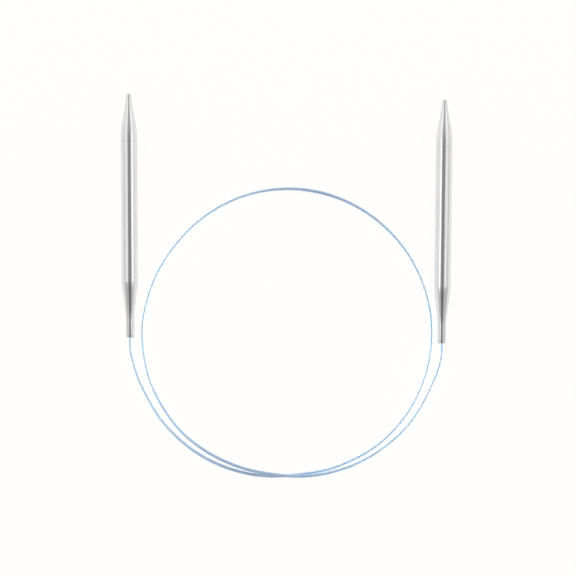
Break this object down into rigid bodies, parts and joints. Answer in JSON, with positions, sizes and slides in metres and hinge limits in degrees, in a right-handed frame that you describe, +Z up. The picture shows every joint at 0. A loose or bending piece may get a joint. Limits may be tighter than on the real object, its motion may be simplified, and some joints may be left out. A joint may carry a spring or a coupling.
{
  "type": "circular knitting needle",
  "caption": "Circular knitting needle: hollow plated metal needles with tapered points, joined at their tails by a long flexible blue cord laid in a loop.",
  "frame": {"origin": "on the plane that the needles lie on, below the middle of the box around the two needles", "axes": "+Z up from that plane, +Y along the needles towards their points, +X from the left needle to the right one"},
  "size_m": [0.1792, 0.2079, 0.009],
  "materials": {
    "plated_metal": "polished nickel plate",
    "ferrule_metal": "satin crimped sleeve",
    "cord": "glossy, slightly translucent nylon"
  },
  "bodies": {
    "cord": {"cord_loop": "cord"},
    "left_link": {"left_cord_link": "cord"},
    "left_stub": {"left_cord_end": "cord"},
    "left_needle": {"left_point": "plated_metal", "left_shaft": "plated_metal", "left_tail": "plated_metal", "left_ferrule": "ferrule_metal"},
    "right_link": {"right_cord_link": "cord"},
    "right_stub": {"right_cord_end": "cord"},
    "right_needle": {"right_point": "plated_metal", "right_shaft": "plated_metal", "right_tail": "plated_metal", "right_ferrule": "ferrule_metal"}
  },
  "joints": [
    {"name": "left_swing", "type": "hinge", "parent": "cord", "child": "left_link", "pos_m": [-0.0816, -0.0822, 0.0043], "axis": [0, 0, 1], "range_deg": [0, 75], "stiffness_Nm_per_rad": 0.03},
    {"name": "left_lift", "type": "hinge", "parent": "left_link", "child": "left_stub", "pos_m": [-0.08446, -0.0704, 0.00449], "axis": [1, 0.0061, 0], "range_deg": [0, 90], "stiffness_Nm_per_rad": 0.03},
    {"name": "left_roll", "type": "hinge", "parent": "left_stub", "child": "left_needle", "pos_m": [-0.0845, -0.0644, 0.00449], "axis": [-0.0061, 1, 0], "range_deg": [-180, 180], "stiffness_Nm_per_rad": 0.0015},
    {"name": "right_swing", "type": "hinge", "parent": "cord", "child": "right_link", "pos_m": [0.08035, -0.0853, 0.0043], "axis": [0, 0, 1], "range_deg": [-75, 0], "stiffness_Nm_per_rad": 0.03},
    {"name": "right_lift", "type": "hinge", "parent": "right_link", "child": "right_stub", "pos_m": [0.08362, -0.0736, 0.00449], "axis": [0.9999, -0.0131, 0], "range_deg": [0, 90], "stiffness_Nm_per_rad": 0.03},
    {"name": "right_roll", "type": "hinge", "parent": "right_stub", "child": "right_needle", "pos_m": [0.0837, -0.0676, 0.00449], "axis": [0.0131, 0.9999, 0], "range_deg": [-180, 180], "stiffness_Nm_per_rad": 0.0015}
  ]
}
